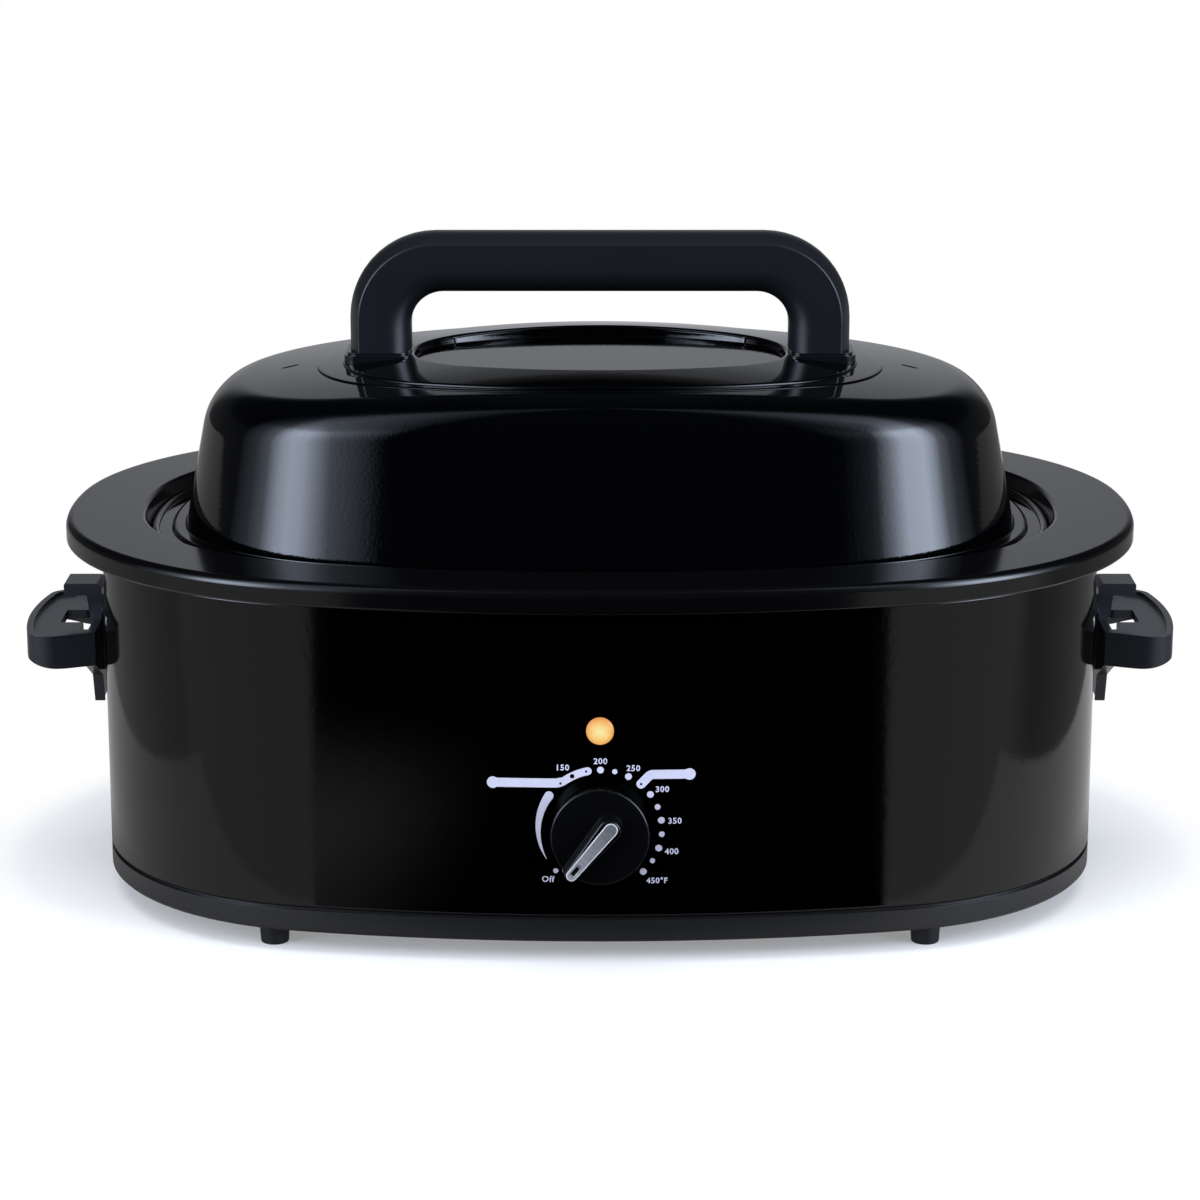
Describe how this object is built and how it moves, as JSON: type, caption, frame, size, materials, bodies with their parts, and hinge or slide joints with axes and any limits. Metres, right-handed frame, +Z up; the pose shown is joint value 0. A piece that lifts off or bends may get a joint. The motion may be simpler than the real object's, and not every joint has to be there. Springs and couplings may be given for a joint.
{
  "type": "electric roaster oven",
  "caption": "Oval countertop electric roaster oven with a lift-off domed lid, lift-out pan with rolled rim, wire rack, side handles with cord-wrap hooks and a front dial with a lamp.",
  "frame": {"origin": "on the worktop, below the middle of the oven", "axes": "+X along the length to the right, -Y towards the front with the dial, +Z up"},
  "size_m": [0.607, 0.4186, 0.336],
  "materials": {
    "shell_paint": "high gloss black enamel",
    "pan_enamel": "gloss black porcelain enamel",
    "lid_enamel": "gloss black porcelain enamel with a slight orange peel",
    "handle_plastic": "satin black phenolic",
    "gasket_plastic": "gloss black",
    "knob_plastic": "satin black",
    "pointer_plastic": "pale grey insert",
    "foot_plastic": "matt black",
    "lamp_amber": "clear amber",
    "lamp_glass": "clear",
    "well_steel": "aluminised, dull",
    "screw_steel": "zinc plated",
    "rack_chrome": "bright",
    "copper_strip": "plain",
    "switch_plastic": "dark phenolic",
    "terminal_plastic": "off white",
    "mineral_wool": "loose wool"
  },
  "bodies": {
    "base": {"base_pan": "shell_paint", "feet": "foot_plastic", "foot_screws": "screw_steel", "outer_shell": "shell_paint", "well_liner": "well_steel", "well_spacers": "well_steel", "spacer_screws": "screw_steel", "heater_band": "well_steel", "heater_clamp_screw": "screw_steel", "insulation_blanket": "mineral_wool", "thermostat": "switch_plastic", "sensor_bracket": "copper_strip", "thermostat_screws": "screw_steel", "indicator_lens": "lamp_amber", "lens_clip": "screw_steel", "neon_lamp": "lamp_glass", "lamp_holder": "switch_plastic", "terminal_block": "terminal_plastic", "terminal_screws": "screw_steel", "cord_inlet": "foot_plastic", "cord_inlet_nut": "foot_plastic", "side_handle_right": "handle_plastic", "side_handle_left": "handle_plastic", "side_handle_screws": "screw_steel"},
    "dial": {"control_knob": "knob_plastic", "knob_pointer": "pointer_plastic", "control_shaft": "screw_steel"},
    "pan": {"roasting_pan": "pan_enamel"},
    "rack": {"roasting_rack": "rack_chrome"},
    "lid": {"lid": "lid_enamel", "lid_handle": "handle_plastic", "lid_handle_gaskets": "gasket_plastic", "lid_handle_screws": "screw_steel", "lid_handle_washers": "screw_steel"}
  },
  "joints": [
    {"name": "knob_turn", "type": "hinge", "parent": "base", "child": "dial", "pos_m": [0, -0.1875, 0.0693], "axis": [0, 1, 0], "range_deg": [0, 274]},
    {"name": "pan_lift", "type": "slide", "parent": "base", "child": "pan", "axis": [0, 0, 1], "range_m": [0, 0.25]},
    {"name": "rack_lift", "type": "slide", "parent": "pan", "child": "rack", "axis": [0, 0, 1], "range_m": [0, 0.15]},
    {"name": "lid_lift", "type": "slide", "parent": "pan", "child": "lid", "axis": [0, 0, 1], "range_m": [0, 0.3]}
  ]
}
